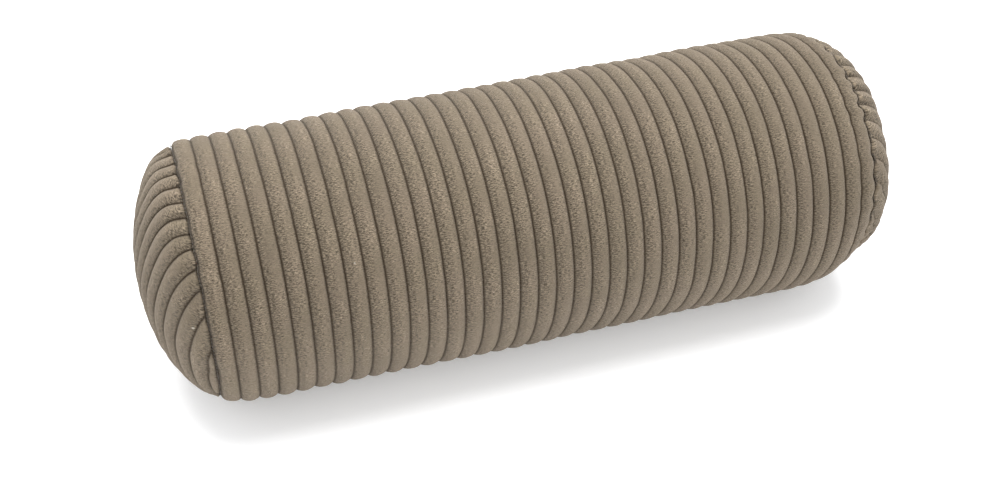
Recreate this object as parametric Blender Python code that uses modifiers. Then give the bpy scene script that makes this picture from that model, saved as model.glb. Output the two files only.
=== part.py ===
"""Bolster cushion: a zipped corduroy cover over an inner case full of fibre.

+X runs along the roll, towards the end where the zip closes, and +Z is up. The zip runs along the back, which
is +Y. The origin is the middle of the strip that the cushion rests on. Sizes are in metres.
"""

import math

import bmesh
import bpy

# Overall sizes
BOLSTER_DIAMETER = 0.200
SEAM_TO_SEAM = 0.500
END_RISE = 0.041  # how far each filled end stands out from its seam
BASE_PRESS = 0.003  # how far the underside is pressed flat
RING_SIDES = 64
END_RINGS = 5

# Fabrics and threads
CORD_FABRIC = 0.003
SEAM_ALLOWANCE = 0.007  # cover fabric turned in at each end seam
CASE_FABRIC = 0.0008
CASE_ALLOWANCE = 0.0015
COVER_THREAD = 0.0008
CASE_THREAD = 0.0005
LAYER_GAP = 0.0004
END_GAP = 0.0006  # between the layers at the middle of each end
CASE_SEAM_TURN = math.radians(37)  # place of the case's closing seam, up from the back
THREAD_SIDES = 6

# Zip opening
ZIP_RISE = math.radians(12)  # place of the zip, up from the back
SEAM_PAST_ZIP = 0.050  # closed long seam between the opening and each end seam
OPENING_WIDTH = 0.009
HEM_WIDTH = 0.008  # folded fabric along each side of the opening
HEM_OVERRUN = 0.012  # folded fabric past each end of the opening
SEAM_SLIT = 0.0008
RECESS_FADE = 0.020

# Zip
TAPE_WIDTH = 0.012
TAPE_THICKNESS = 0.0006
TAPE_OVERRUN = 0.010
ROW_WIDTH = 0.0022
ROW_HEIGHT = 0.0018
ROW_SPACING = 0.0016
STOP_LENGTH = 0.003
STOP_HEIGHT = 0.0021
STOP_MARGIN = 0.001
SLIDER_LENGTH = 0.010
SLIDER_PLATE = 0.0008
SLIDER_SIDE = 0.0006
SLIDER_CLEARANCE = 0.00035
SLIDER_CORNER = 0.0012
POST_LENGTH = 0.0036
BRIDGE_LENGTH = 0.0058
BRIDGE_WIDTH = 0.0016
BRIDGE_BAR = 0.0008
BRIDGE_EYE = 0.0024  # clear height under the bridge
BRIDGE_RECESS = 0.0004  # how far the bridge stays below the cover's surface
OVERLAP = 0.0001  # how far joined blocks run into each other

# Pull tab
TAB_LENGTH = 0.018
TAB_WIDTH = 0.0064
TAB_THICKNESS = 0.001
TAB_BAR = 0.0012
TAB_ARM = 0.001
TAB_WINDOW = 0.0036
TAB_MARGIN = 0.001
TAB_ARC_POINTS = 8

# Places worked out from the sizes
RADIUS = BOLSTER_DIAMETER / 2
AXIS_HEIGHT = RADIUS - BASE_PRESS
SEAM_X = SEAM_TO_SEAM / 2
COVER_SEAM_HALF = COVER_THREAD / 2 + LAYER_GAP
CASE_SEAM_X = SEAM_X - LAYER_GAP
CASE_SEAM_HALF = CASE_THREAD / 2 + LAYER_GAP
CASE_RADIUS = RADIUS - SEAM_ALLOWANCE - LAYER_GAP
FILL_RADIUS = CASE_RADIUS - CASE_FABRIC - LAYER_GAP
COVER_APEX = SEAM_X + END_RISE
CASE_APEX = COVER_APEX - CORD_FABRIC - END_GAP
FILL_APEX = CASE_APEX - CASE_FABRIC - END_GAP
FILL_RIM_X = CASE_SEAM_X - CASE_SEAM_HALF + LAYER_GAP

BRIDGE_TOP = RADIUS - BRIDGE_RECESS
PLATE_TOP = BRIDGE_TOP - BRIDGE_BAR - BRIDGE_EYE
PLATE_UNDER = PLATE_TOP - SLIDER_PLATE
ROW_TOP = PLATE_UNDER - LAYER_GAP
ROW_UNDER = ROW_TOP - ROW_HEIGHT
TAPE_TOP = ROW_UNDER - LAYER_GAP
TAPE_UNDER = TAPE_TOP - TAPE_THICKNESS
BASE_TOP = TAPE_UNDER - LAYER_GAP
BASE_UNDER = BASE_TOP - SLIDER_PLATE
CASE_RECESS = BASE_UNDER - LAYER_GAP

ROW_INNER = ROW_SPACING / 2
ROW_OUTER = ROW_INNER + ROW_WIDTH
SLIDER_HALF = ROW_OUTER + SLIDER_CLEARANCE + SLIDER_SIDE
POST_HALF = ROW_INNER - SLIDER_CLEARANCE
PIVOT_RADIUS = PLATE_TOP + BRIDGE_EYE / 2
TAB_REACH = TAB_LENGTH - TAB_BAR / 2
OPENING_END = SEAM_X - SEAM_PAST_ZIP
CHAIN_HIGH = OPENING_END - STOP_MARGIN - STOP_LENGTH - LAYER_GAP
CHAIN_LOW = -OPENING_END + TAB_MARGIN + TAB_REACH - SLIDER_LENGTH / 2
SLIDER_CLOSED = CHAIN_HIGH - SLIDER_LENGTH / 2
RECESS_END = OPENING_END + HEM_OVERRUN

MERGE = 0.000001


def clear_scene():
    for item in list(bpy.data.objects):
        bpy.data.objects.remove(item, do_unlink=True)


def new_collection(name):
    collection = bpy.data.collections.new(name)
    bpy.context.scene.collection.children.link(collection)
    return collection


def material(name, colour, roughness, metallic=0.0):
    made = bpy.data.materials.new(name)
    made.use_nodes = True
    shader = made.node_tree.nodes["Principled BSDF"]
    shader.inputs["Base Color"].default_value = (*colour, 1.0)
    shader.inputs["Roughness"].default_value = roughness
    shader.inputs["Metallic"].default_value = metallic
    return made


def empty(name, location, rotation=(0.0, 0.0, 0.0), parent=None):
    made = bpy.data.objects.new(name, None)
    made.location = location
    made.rotation_euler = rotation
    made.parent = parent
    parts.objects.link(made)
    return made


def add_object(name, data, parent, finish):
    made = bpy.data.objects.new(name, data)
    made.parent = parent
    parts.objects.link(made)
    data.materials.append(finish)
    return made


def hide_as_cutter(item):
    cutters.objects.link(item)
    item.hide_render = True
    item.display_type = "WIRE"


def smooth_round(mesh):
    mesh.shade_smooth()
    mesh.set_sharp_from_angle(angle=math.radians(35))


def pressed_base(point):
    """Flatten the underside, each layer in proportion to its distance from the roll's axis."""
    radius = math.hypot(point.y, point.z)
    point.z = max(point.z, -radius * AXIS_HEIGHT / RADIUS)


def pressed_zip(point, limit):
    """Flatten the side behind the zip, for the length of its folded edges."""
    height = point.y * math.cos(ZIP_RISE) + point.z * math.sin(ZIP_RISE)
    if height > limit and abs(point.x) <= RECESS_END + MERGE:
        point.y -= (height - limit) * math.cos(ZIP_RISE)
        point.z -= (height - limit) * math.sin(ZIP_RISE)


def turned(name, outline, finish, closed=True, zip_limits=None):
    """Turn an outline of (x, radius) points about the roll's axis, then press its base and its zip side.

    zip_limits maps a radius of the outline to the height at which the zip's recess stops it.
    """
    count = len(outline)
    last = count if closed else count - 1
    edges = [(i, (i + 1) % count) for i in range(last)]
    guide_mesh = bpy.data.meshes.new(name + "_outline")
    guide_mesh.from_pydata([(x, 0.0, -radius) for x, radius in outline], edges, [])
    guide = bpy.data.objects.new(name + "_outline", guide_mesh)
    cutters.objects.link(guide)
    turn = guide.modifiers.new("turn", "SCREW")
    turn.axis = "X"
    turn.steps = turn.render_steps = RING_SIDES
    turn.use_merge_vertices = True
    turn.merge_threshold = MERGE
    graph = bpy.context.evaluated_depsgraph_get()
    mesh = bpy.data.meshes.new_from_object(guide.evaluated_get(graph))
    mesh.name = name
    bpy.data.objects.remove(guide, do_unlink=True)

    shape = bmesh.new()
    shape.from_mesh(mesh)
    bmesh.ops.remove_doubles(shape, verts=shape.verts, dist=MERGE)
    for vert in shape.verts:
        radius = math.hypot(vert.co.y, vert.co.z)
        for ring, limit in (zip_limits or {}).items():
            if abs(radius - ring) < MERGE * 10:
                pressed_zip(vert.co, limit)
        pressed_base(vert.co)
    bmesh.ops.triangulate(shape, faces=shape.faces, quad_method="SHORT_EDGE")
    bmesh.ops.recalc_face_normals(shape, faces=shape.faces)
    shape.to_mesh(mesh)
    shape.free()
    smooth_round(mesh)
    return add_object(name, mesh, roll_axis, finish)


def dome(rim_x, rim_radius, apex_x):
    """Points of a filled end from its rim to its middle, on a parabola."""
    points = []
    for step in range(END_RINGS + 1):
        radius = rim_radius * math.cos(math.pi / 2 * step / END_RINGS)
        points.append((rim_x + (apex_x - rim_x) * (1 - (radius / rim_radius) ** 2), radius))
    points[-1] = (apex_x, 0.0)
    return points


def end_shell(name, side, rim_x, outer, inner, finish):
    """A domed end of fabric. outer and inner are (rim radius, middle x) of its two faces."""
    front = dome(rim_x, *outer)
    back = dome(rim_x, *inner)
    outline = [(side * x, radius) for x, radius in reversed(front)]
    outline += [(side * x, radius) for x, radius in back]
    return turned(name, outline, finish, closed=False)


def thread_ring(name, x, radius, thickness, finish):
    outline = []
    for side in range(THREAD_SIDES):
        angle = math.tau * side / THREAD_SIDES
        outline.append((x + thickness / 2 * math.cos(angle), radius + thickness / 2 * math.sin(angle)))
    return turned(name, outline, finish)


def thread_line(name, start, end, thickness, parent, finish):
    curve = bpy.data.curves.new(name, "CURVE")
    curve.dimensions = "3D"
    curve.bevel_depth = thickness / 2
    curve.bevel_resolution = 1
    curve.use_fill_caps = True
    spline = curve.splines.new("POLY")
    spline.points.add(1)
    spline.points[0].co = (*start, 1.0)
    spline.points[1].co = (*end, 1.0)
    return add_object(name, curve, parent, finish)


def block_mesh(name, low, high, corner=0.0):
    """A block from corner to corner. corner bevels the edges that stand outward from the cushion."""
    mesh = bpy.data.meshes.new(name)
    shape = bmesh.new()
    bmesh.ops.create_cube(shape, size=1.0)
    for vert in shape.verts:
        vert.co = [low[i] + (high[i] - low[i]) * (vert.co[i] + 0.5) for i in range(3)]
    if corner:
        standing = [e for e in shape.edges if abs((e.verts[0].co - e.verts[1].co).normalized().y) > 0.9]
        bmesh.ops.bevel(shape, geom=standing, offset=corner, segments=2, affect="EDGES", profile=0.5)
    shape.to_mesh(mesh)
    shape.free()
    return mesh


def block(name, low, high, parent, finish, corner=0.0):
    return add_object(name, block_mesh(name, low, high, corner), parent, finish)


def join_or_cut(target, operation, name, low, high, parent, turn=0.0):
    """Join a block to the target, or cut it out. turn swings the block about the roll's axis."""
    tool = bpy.data.objects.new(name, block_mesh(name, low, high))
    tool.parent = parent
    tool.rotation_euler = (turn, 0.0, 0.0)
    hide_as_cutter(tool)
    change = target.modifiers.new(name, "BOOLEAN")
    change.operation = operation
    change.solver = "EXACT"
    change.object = tool


# ---- cover ----


def make_cover_body():
    end = SEAM_X - COVER_SEAM_HALF
    inside = RADIUS - CORD_FABRIC
    turned_in = RADIUS - SEAM_ALLOWANCE
    flange = end - CORD_FABRIC
    outline = [(-end, RADIUS), (end, RADIUS), (end, turned_in), (flange, turned_in), (flange, inside)]
    outline += [(-flange, inside), (-flange, turned_in), (-end, turned_in)]
    body = turned("cover_body", outline, corduroy)

    hem = OPENING_WIDTH / 2 + HEM_WIDTH
    hem_under = TAPE_TOP + LAYER_GAP
    hem_top = RADIUS - CORD_FABRIC / 2
    low = (-RECESS_END, hem_under, -hem)
    high = (RECESS_END, hem_top, hem)
    join_or_cut(body, "UNION", "folded_edges", low, high, zip_frame)

    half = OPENING_WIDTH / 2
    deep = CASE_RECESS - CORD_FABRIC
    clear = RADIUS + CORD_FABRIC
    low = (-OPENING_END, deep, -half)
    high = (OPENING_END, clear, half)
    join_or_cut(body, "DIFFERENCE", "zip_opening", low, high, zip_frame)

    slit = SEAM_SLIT / 2
    for name, near, far in (("left_slit", -SEAM_X, -OPENING_END + half), ("right_slit", OPENING_END - half, SEAM_X)):
        join_or_cut(body, "DIFFERENCE", name, (near, deep, -slit), (far, clear, slit), zip_frame)


def make_cover_ends():
    rim_x = SEAM_X + COVER_SEAM_HALF
    outer = (RADIUS, COVER_APEX)
    inner = (RADIUS - SEAM_ALLOWANCE, COVER_APEX - CORD_FABRIC)
    end_shell("cover_left_end", -1, rim_x, outer, inner, corduroy)
    end_shell("cover_right_end", 1, rim_x, outer, inner, corduroy)


def make_cover_threads():
    stitch_radius = RADIUS - SEAM_ALLOWANCE / 2
    thread_ring("cover_left_seam_thread", -SEAM_X, stitch_radius, COVER_THREAD, thread)
    thread_ring("cover_right_seam_thread", SEAM_X, stitch_radius, COVER_THREAD, thread)
    near = RECESS_END + LAYER_GAP
    far = SEAM_X - COVER_SEAM_HALF - CORD_FABRIC - LAYER_GAP
    chord_slack = (RADIUS - CORD_FABRIC) * (1 - math.cos(math.pi / RING_SIDES))
    height = RADIUS - CORD_FABRIC - chord_slack - LAYER_GAP - COVER_THREAD / 2
    for name, side in (("cover_long_seam_thread_left", -1), ("cover_long_seam_thread_right", 1)):
        start = (side * near, height, 0.0)
        finish = (side * far, height, 0.0)
        thread_line(name, start, finish, COVER_THREAD, zip_frame, thread)


# ---- zip ----


def make_tapes():
    reach = OPENING_END + TAPE_OVERRUN
    stitch_offset = OPENING_WIDTH / 2 + HEM_WIDTH / 2
    stitch_height = TAPE_UNDER - LAYER_GAP - COVER_THREAD / 2
    for name, side in (("upper", 1), ("lower", -1)):
        edges = sorted((side * ROW_INNER, side * (ROW_INNER + TAPE_WIDTH)))
        low = (-reach, TAPE_UNDER, edges[0])
        high = (reach, TAPE_TOP, edges[1])
        block("zip_tape_" + name, low, high, zip_frame, tape)
        start = (-reach, stitch_height, side * stitch_offset)
        end = (reach, stitch_height, side * stitch_offset)
        thread_line("zip_stitching_" + name, start, end, COVER_THREAD, zip_frame, thread)


def make_rows():
    for name, side in (("upper", 1), ("lower", -1)):
        edges = sorted((side * ROW_INNER, side * ROW_OUTER))
        low = (CHAIN_LOW, ROW_UNDER, edges[0])
        high = (CHAIN_HIGH, ROW_TOP, edges[1])
        block("zip_coil_" + name, low, high, zip_frame, nylon)


def make_stops():
    top = ROW_UNDER + STOP_HEIGHT
    start = CHAIN_HIGH + LAYER_GAP
    for name, side in (("upper", 1), ("lower", -1)):
        edges = sorted((side * ROW_INNER, side * ROW_OUTER))
        low = (start, ROW_UNDER, edges[0])
        high = (start + STOP_LENGTH, top, edges[1])
        block("zip_top_stop_" + name, low, high, zip_frame, brass)
    end = CHAIN_LOW - LAYER_GAP
    low = (end - STOP_LENGTH, ROW_UNDER, -ROW_OUTER)
    high = (end, top, ROW_OUTER)
    block("zip_bottom_stop", low, high, zip_frame, brass)


def make_slider():
    half = SLIDER_LENGTH / 2
    low = (-half, PLATE_UNDER, -SLIDER_HALF)
    high = (half, PLATE_TOP, SLIDER_HALF)
    slider = block("zip_slider", low, high, slider_place, brass, SLIDER_CORNER)

    low = (-half, BASE_UNDER, -SLIDER_HALF)
    high = (half, BASE_TOP, SLIDER_HALF)
    post_front = half - SLIDER_CLEARANCE
    bridge = BRIDGE_LENGTH / 2
    side_half = half - SLIDER_CORNER
    side_under = TAPE_TOP + LAYER_GAP
    pieces = [
        ("slider_post", (post_front - POST_LENGTH, BASE_TOP - OVERLAP, -POST_HALF),
         (post_front, PLATE_UNDER + OVERLAP, POST_HALF)),
        ("slider_base", low, high),
        ("slider_side_upper", (-side_half, side_under, SLIDER_HALF - SLIDER_SIDE),
         (side_half, PLATE_UNDER + OVERLAP, SLIDER_HALF - OVERLAP)),
        ("slider_side_lower", (-side_half, side_under, -SLIDER_HALF + OVERLAP),
         (side_half, PLATE_UNDER + OVERLAP, -SLIDER_HALF + SLIDER_SIDE)),
        ("bridge_foot_rear", (-bridge, PLATE_TOP - OVERLAP, -BRIDGE_WIDTH / 2),
         (-bridge + BRIDGE_BAR, BRIDGE_TOP - OVERLAP, BRIDGE_WIDTH / 2)),
        ("bridge_foot_front", (bridge - BRIDGE_BAR, PLATE_TOP - OVERLAP, -BRIDGE_WIDTH / 2),
         (bridge, BRIDGE_TOP - OVERLAP, BRIDGE_WIDTH / 2)),
        ("bridge_bar", (-bridge - OVERLAP, BRIDGE_TOP - BRIDGE_BAR, -BRIDGE_WIDTH / 2 - OVERLAP),
         (bridge + OVERLAP, BRIDGE_TOP, BRIDGE_WIDTH / 2 + OVERLAP)),
    ]
    for name, low, high in pieces:
        join_or_cut(slider, "UNION", name, low, high, slider_place)


def make_pull_tab():
    """A flat tab with a window. Its near bar lies on the pivot, and the tab lies back along the zip."""
    half = TAB_WIDTH / 2
    near = TAB_BAR / 2
    round_centre = -TAB_REACH + half
    outer = [(near, -half), (near, half)]
    for step in range(TAB_ARC_POINTS + 1):
        angle = math.pi / 2 + math.pi * step / TAB_ARC_POINTS
        outer.append((round_centre + half * math.cos(angle), half * math.sin(angle)))
    window_half = half - TAB_ARM
    window = [(-near, -window_half), (-near - TAB_WINDOW, -window_half)]
    window += [(-near - TAB_WINDOW, window_half), (-near, window_half)]

    curve = bpy.data.curves.new("zip_pull_tab", "CURVE")
    curve.dimensions = "2D"
    curve.fill_mode = "BOTH"
    curve.extrude = TAB_THICKNESS / 2
    for points in (outer, window):
        spline = curve.splines.new("POLY")
        spline.points.add(len(points) - 1)
        for point, (x, y) in zip(spline.points, points):
            point.co = (x, y, 0.0, 1.0)
        spline.use_cyclic_u = True
    tab = add_object("zip_pull_tab", curve, tab_pivot, brass)
    tab.rotation_euler = (math.pi / 2, 0.0, 0.0)


# ---- inner case and filling ----


def case_stations(end):
    """Where the sides of the case and the filling bend: at their ends and around the zip's recess."""
    half = [RECESS_END, RECESS_END + RECESS_FADE, end]
    return [-x for x in reversed(half)] + half


def make_case():
    end = CASE_SEAM_X - CASE_SEAM_HALF
    inside = CASE_RADIUS - CASE_FABRIC
    stations = case_stations(end)
    outline = [(x, CASE_RADIUS) for x in stations] + [(x, inside) for x in reversed(stations)]
    limits = {CASE_RADIUS: CASE_RECESS, inside: CASE_RECESS - CASE_FABRIC}
    body = turned("inner_case_body", outline, ticking, zip_limits=limits)
    slit = CASE_SEAM_HALF
    low = (-SEAM_X, inside - CASE_FABRIC, -slit)
    high = (SEAM_X, CASE_RADIUS + CASE_FABRIC, slit)
    join_or_cut(body, "DIFFERENCE", "closing_slit", low, high, roll_axis, CASE_SEAM_TURN)

    rim_x = CASE_SEAM_X + CASE_SEAM_HALF
    outer = (CASE_RADIUS, CASE_APEX)
    inner = (CASE_RADIUS - CASE_ALLOWANCE, CASE_APEX - CASE_FABRIC)
    end_shell("inner_case_left_end", -1, rim_x, outer, inner, ticking)
    end_shell("inner_case_right_end", 1, rim_x, outer, inner, ticking)

    middle = CASE_RADIUS - CASE_FABRIC / 2
    thread_ring("inner_case_left_seam_thread", -CASE_SEAM_X, middle, CASE_THREAD, case_thread)
    thread_ring("inner_case_right_seam_thread", CASE_SEAM_X, middle, CASE_THREAD, case_thread)
    height = middle * math.cos(CASE_SEAM_TURN)
    rise = middle * math.sin(CASE_SEAM_TURN)
    thread_line("inner_case_closing_thread", (-end, height, rise), (end, height, rise), CASE_THREAD, roll_axis,
                case_thread)


def make_filling():
    side = case_stations(FILL_RIM_X)
    right = dome(FILL_RIM_X, FILL_RADIUS, FILL_APEX)
    outline = [(-x, radius) for x, radius in reversed(right)]
    outline += [(x, FILL_RADIUS) for x in side[1:-1]] + right
    limit = CASE_RECESS - CASE_FABRIC - LAYER_GAP
    turned("fibre_filling", outline, fibre, closed=False, zip_limits={FILL_RADIUS: limit})


clear_scene()
parts = new_collection("bolster_cushion")
cutters = new_collection("cutters")

corduroy = material("corduroy", (0.235, 0.200, 0.152), 0.95)
thread = material("sewing_thread", (0.160, 0.135, 0.100), 0.80)
tape = material("zip_tape", (0.180, 0.150, 0.112), 0.90)
nylon = material("zip_coil", (0.150, 0.125, 0.095), 0.45)
brass = material("zip_metal", (0.270, 0.235, 0.190), 0.35, 1.0)
ticking = material("inner_case", (0.780, 0.770, 0.740), 0.90)
case_thread = material("case_thread", (0.820, 0.810, 0.780), 0.80)
fibre = material("fibre", (0.900, 0.900, 0.890), 1.00)

roll_axis = empty("roll_axis", (0.0, 0.0, AXIS_HEIGHT))
zip_frame = empty("zip_frame", (0.0, 0.0, 0.0), (ZIP_RISE, 0.0, 0.0), roll_axis)
slider_place = empty("slider_place", (SLIDER_CLOSED, 0.0, 0.0), parent=zip_frame)
tab_pivot = empty("tab_pivot", (0.0, PIVOT_RADIUS, 0.0), parent=slider_place)

make_cover_body()
make_cover_ends()
make_cover_threads()
make_tapes()
make_rows()
make_stops()
make_slider()
make_pull_tab()
make_case()
make_filling()
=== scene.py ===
"""Bolster pillow in a wide-rib corduroy cover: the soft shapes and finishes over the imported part.

The frame, in metres: X runs along the roll, +Y is the back with the zip, +Z is up, and the roll
rests on z = 0.
"""

import math

import bmesh
import bpy
import numpy as np
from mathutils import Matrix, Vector


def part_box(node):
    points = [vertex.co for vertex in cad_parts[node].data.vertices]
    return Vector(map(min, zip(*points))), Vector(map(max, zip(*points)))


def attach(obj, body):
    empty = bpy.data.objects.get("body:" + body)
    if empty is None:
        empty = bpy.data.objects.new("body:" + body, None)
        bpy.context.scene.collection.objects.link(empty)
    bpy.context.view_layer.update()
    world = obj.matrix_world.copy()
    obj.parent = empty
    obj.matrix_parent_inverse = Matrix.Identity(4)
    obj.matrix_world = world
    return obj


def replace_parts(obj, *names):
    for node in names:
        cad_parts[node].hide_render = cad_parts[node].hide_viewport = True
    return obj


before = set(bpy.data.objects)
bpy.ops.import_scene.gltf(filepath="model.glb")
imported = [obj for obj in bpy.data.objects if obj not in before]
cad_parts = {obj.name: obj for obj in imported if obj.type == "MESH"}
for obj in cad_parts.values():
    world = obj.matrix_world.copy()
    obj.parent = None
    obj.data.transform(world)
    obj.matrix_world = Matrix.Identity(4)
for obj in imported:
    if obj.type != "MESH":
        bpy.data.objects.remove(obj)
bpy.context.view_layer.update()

# The roll, from the CAD boxes
BODY_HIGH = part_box("cover_body")[1]
RADIUS = BODY_HIGH.y
AXIS_Z = BODY_HIGH.z - RADIUS
SEAM_X = sum(corner.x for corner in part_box("cover_right_seam_thread")) / 2
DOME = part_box("cover_right_end")[1].x - SEAM_X
CASE_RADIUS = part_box("inner_case_body")[1].y
CASE_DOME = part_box("inner_case_right_end")[1].x - SEAM_X
FILL_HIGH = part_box("fibre_filling")[1]

# The corduroy cover
RIBS = 37
PITCH = 2 * SEAM_X / RIBS
GROOVE_DEPTH = 0.0025
TAPER = 0.0235
FULLNESS = 0.0125
CORD_THICKNESS = 0.0042
SHOULDER = {-1: -0.0010, 1: 0.0016}
SHOULDER_BELOW = {-1: 0.0058, 1: 0.0118}
SHOULDER_REACH = 0.014
SEAM_GAP = 0.00025
SEAM_ROLL = 0.0026
FLANGE = 0.0062
LIP_ROLL = 0.0028
PARTED_REACH = 0.010
FREE_FROM, FREE_BY = 0.004, 0.030
HIDDEN = 0.1
INNER_REST, FLANGE_REST, RIM_REST = 0.0022, 0.0016, 0.0008
TIGHT_SPOT = 3.11
RIB_SAMPLES = (0, 0.035, 0.08, 0.15, 0.27, 0.42, 0.58, 0.73, 0.85, 0.92, 0.965)
COLUMNS = 190

# The end panels: the ribs lean in the disc, and the panels bulge
END_PITCH = 0.0131
END_LEAN = math.radians(16)
END_SHIFT = -0.0017
END_ROWS = 96
END_DROP = 0.0045
END_HOOK = 0.0045
DOME_SHARE = {-1: 1.01, 1: 0.89}
END_FULLNESS = {-1: 2.06, 1: 2.6}
END_GROOVES = {-1: 1.0, 1: 0.72}
END_RIM_DROP = {-1: 0.0030, 1: 0.0022}

# The coarse skin that the cloth simulation settles
SKIN_SIDES = 112
SKIN_STATIONS = 64
SKIN_RINGS = 12
SKIN_CORNER = {-1: 0.86, 1: 0.75}
SETTLE_FRAMES = 24
SETTLE_LIMIT = 0.0022
GROUND = -0.0012

# The zip
ZIP_RISE = math.radians(12)
OPENING_HALF = 0.0045
SLIT_HALF = 0.0004
HEM = 0.0125
HEM_RADIUS = 0.0935
TAPE_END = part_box("zip_tape_upper")[1].x
COIL_PITCH = 0.0016
COIL_MIDDLE = 0.00178
COIL_HALF = 0.00122
COIL_RADIUS, COIL_RISE = 0.0943, 0.0009
COIL_WIRE, COIL_SLANT = 0.00029, 0.00028
OUTER_ROW, INNER_ROW, INNER_ROW_RADIUS = 0.0101, 0.0085, 0.0917
CIRCUMFERENCE = 2 * math.pi * RADIUS

# Thread and what lies inside the cover
SEAM_THREAD_DEPTH = 0.0050
LONG_SEAM_RADIUS = 0.0962
CLOSING_STITCHES = 62
SEAM_TURN, SEAM_START = 2 * math.pi * 0.985, 0.05
UNDER_DOME = {"case": 0.0050, "filling": 0.0066}


# ---------------------------------------------------------------- numbers


def lattice_noise(u, v, size, seed):
    """Smooth noise of about -1 to 1 over a plane, with bumps as wide as size."""
    table = np.random.default_rng(seed).uniform(-1, 1, (256, 256))
    a, b = np.asarray(u) / size + 128, np.asarray(v) / size + 128
    i, j = np.floor(a).astype(int), np.floor(b).astype(int)
    s, t = a - i, b - j
    s, t = s * s * (3 - 2 * s), t * t * (3 - 2 * t)
    near = table[i % 256, j % 256] * (1 - s) + table[(i + 1) % 256, j % 256] * s
    far = table[i % 256, (j + 1) % 256] * (1 - s) + table[(i + 1) % 256, (j + 1) % 256] * s
    return near * (1 - t) + far * t


def ring_noise(angle, waves, seed):
    """Noise of about -1 to 1 round a ring, which closes on itself."""
    rng = np.random.default_rng(seed)
    total = np.zeros_like(np.asarray(angle, float))
    for count in range(int(waves * 0.7), int(waves * 1.3) + 1):
        total = total + rng.normal() * np.cos(count * angle + rng.uniform(0, 2 * math.pi))
    return total / math.sqrt(max(1.0, 0.6 * waves)) / 0.9


def ease(value, low, high):
    """0 below low, 1 above high, smooth between."""
    share = np.clip((np.asarray(value, float) - low) / (high - low), 0, 1)
    return share * share * (3 - 2 * share)


def rest_on_floor(height, least=0.0, softness=0.0014):
    """Heights that stop softly at a floor."""
    over = height - least
    return least + 0.5 * (over + np.sqrt(over * over + softness * softness)) - 0.02 * softness


def rib_height(phase):
    """0 in the grooves, where phase is whole, and 1 on the crests."""
    side = np.abs(2 * (phase - np.floor(phase)) - 1)
    return (1 - side**2.2) ** 0.72


# ---------------------------------------------------------------- the roll's shape


def roll_radius(x):
    """The roll's radius over the ribs: filled a little fuller towards the right."""
    return RADIUS * (1 + FULLNESS + TAPER * np.clip(x / SEAM_X, -1.05, 1.05))


def shoulder(side, to_seam, angle):
    """How far the cloth draws in towards an end seam, more underneath than on top."""
    down = -np.sin(angle + ZIP_RISE)
    left = SHOULDER[-1] + SHOULDER_BELOW[-1] * ease(down, -0.1, 0.95)
    right = SHOULDER[1] + SHOULDER_BELOW[1] * ease(down, -0.4, 0.75)
    drop = np.where(np.asarray(side) < 0, left, right)
    return drop * np.exp(-((np.maximum(to_seam, 0) / SHOULDER_REACH) ** 1.3))


def seam_wave(side, angle):
    """How far the end seam wanders along X, in metres."""
    reach = 0.0013 if side > 0 else 0.0004
    return reach * ring_noise(angle, 42 if side > 0 else 30, 11 + side)


def pucker(side, angle):
    """0 to 1: how hard the seam gathers the cloth at this angle, and more at one tight spot."""
    gather = 0.5 + 0.5 * np.tanh(1.3 * ring_noise(angle, 44 if side > 0 else 34, 21 + side))
    if side > 0:
        return gather
    return gather + 2.6 * np.exp(-(((np.asarray(angle) - TIGHT_SPOT) / 0.075) ** 2))


def seam_shade(side, to_seam, gather):
    """Painted shade along an end seam: 1 well away from the seam and low in it, wider where the
    cloth is pulled hard.
    """
    width = 0.0010 + 0.0018 * np.clip(gather - 1, 0, 1)
    return 1 - np.where(np.asarray(side) < 0, 0.60, 0.35) * np.exp(-((to_seam / width) ** 2))


def to_space(x, angle, radius):
    """A point at that angle up from the zip line, round the roll's axis."""
    turn = angle + ZIP_RISE
    return np.stack(
        np.broadcast_arrays(x, radius * np.cos(turn), AXIS_Z + radius * np.sin(turn)), -1
    )


def opening_half(x):
    """Half the width between the two hems, wide over the zip and shut beyond it."""
    open_share = 1 - ease(np.abs(x), TAPE_END - 0.014, TAPE_END + 0.004)
    return SLIT_HALF + (OPENING_HALF - SLIT_HALF) * open_share


# ---------------------------------------------------------------- meshes


def add_piece(name, points, faces, material, place=None):
    """A smooth closed mesh with its faces turned outward, on the cushion's body."""
    mesh = bpy.data.meshes.new(name)
    mesh.from_pydata([tuple(p) for p in points], [], [tuple(map(int, f)) for f in faces])
    outward = bmesh.new()
    outward.from_mesh(mesh)
    bmesh.ops.recalc_face_normals(outward, faces=outward.faces)
    outward.to_mesh(mesh)
    outward.free()
    mesh.update()
    if place is not None:
        stored = mesh.attributes.new("cloth_place", "FLOAT_VECTOR", "POINT")
        stored.data.foreach_set("vector", np.asarray(place, np.float32).ravel())
    mesh.shade_smooth()
    piece = bpy.data.objects.new(name, mesh)
    bpy.context.scene.collection.objects.link(piece)
    mesh.materials.append(material)
    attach(piece, "bolster")
    return piece


def grid_faces(rows, columns, first=0, wrap_columns=False, flip=False):
    """Quads over a grid of vertices numbered row by row."""
    i, j = np.meshgrid(
        np.arange(rows - 1), np.arange(columns if wrap_columns else columns - 1), indexing="ij"
    )
    k = (j + 1) % columns
    corners = [i * columns + j, i * columns + k, (i + 1) * columns + k, (i + 1) * columns + j]
    quads = np.stack(corners[::-1] if flip else corners, -1).reshape(-1, 4) + first
    return quads.tolist()


def strip_between(first, second, first_x, second_x):
    """Triangles between two runs of vertices that both go along X."""
    faces, i, j = [], 0, 0
    while i < len(first) - 1 or j < len(second) - 1:
        step_first = j == len(second) - 1 or (
            i < len(first) - 1 and first_x[i + 1] <= second_x[j + 1]
        )
        if step_first:
            faces.append((first[i], first[i + 1], second[j]))
            i += 1
        else:
            faces.append((first[i], second[j + 1], second[j]))
            j += 1
    return faces


# ---------------------------------------------------------------- settling by cloth simulation


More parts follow.
